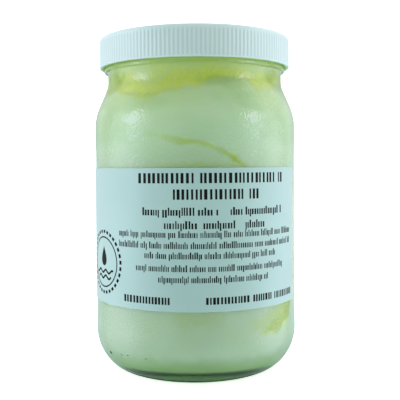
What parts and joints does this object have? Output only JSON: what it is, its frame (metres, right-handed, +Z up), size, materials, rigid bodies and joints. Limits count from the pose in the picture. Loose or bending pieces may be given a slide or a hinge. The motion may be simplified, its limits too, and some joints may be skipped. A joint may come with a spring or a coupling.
{
  "type": "jar of yogurt",
  "caption": "Closed round glass jar of plain yogurt with rounded heel and shoulder, ribbed white screw cap and a wrapped paper label.",
  "frame": {"origin": "on the jar's axis, at the level of the ring that it stands on", "axes": "+Z up along the jar's axis, -Y out of the front of the label, +X to the right of someone facing the label"},
  "size_m": [0.0904, 0.0903, 0.1471],
  "materials": {
    "jar_glass": "clear, pale green, smooth",
    "yogurt": "thick, smooth and matt, seen through the glass",
    "cream": "pale yellow cream, soft and uneven at its edge",
    "cap_plastic": "white moulded polypropylene, satin",
    "label_paper": "smooth uncoated paper",
    "label_ink": "black printed ink, matt"
  },
  "bodies": {
    "root": {"glass_jar": "jar_glass", "yogurt": "yogurt", "cream_top": "cream", "lid": "cap_plastic", "label": "label_paper"}
  },
  "joints": []
}
